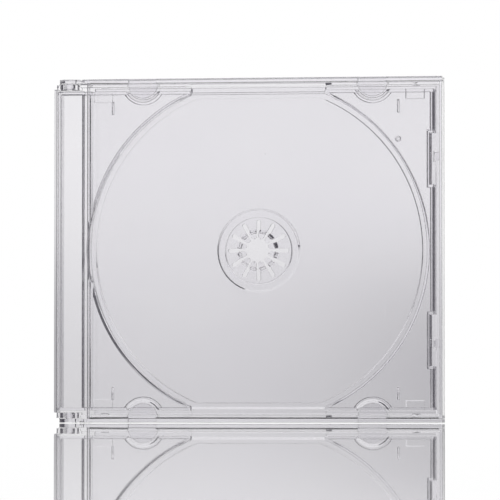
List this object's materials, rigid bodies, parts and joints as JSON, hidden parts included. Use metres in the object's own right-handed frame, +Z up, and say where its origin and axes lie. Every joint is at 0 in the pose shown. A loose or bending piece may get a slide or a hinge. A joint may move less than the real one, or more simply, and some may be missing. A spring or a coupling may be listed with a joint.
{
  "type": "cd jewel case",
  "caption": "Clear hinged plastic case for a compact disc, with a lid, a base and a clear disc tray whose hub of spring fingers holds the disc; shown closed and standing on its long edge.",
  "frame": {"origin": "centre of the bottom long edge of the closed case, on the surface that it stands on", "axes": "+Z up along the spine, +X along the rails away from the hinge, -Y out of the lid's front face"},
  "size_m": [0.142, 0.01, 0.125],
  "materials": {
    "clear_lid": "polished clear polystyrene",
    "clear_base": "polished clear polystyrene",
    "clear_tray": "clear polystyrene, polished on the deck and the well"
  },
  "bodies": {
    "base": {"base": "clear_base", "disc_tray": "clear_tray"},
    "lid": {"lid": "clear_lid"}
  },
  "joints": [
    {"name": "lid_hinge", "type": "hinge", "parent": "base", "child": "lid", "pos_m": [-0.066, 0, 0.0625], "axis": [0, 0, -1], "range_deg": [0, 180]}
  ]
}
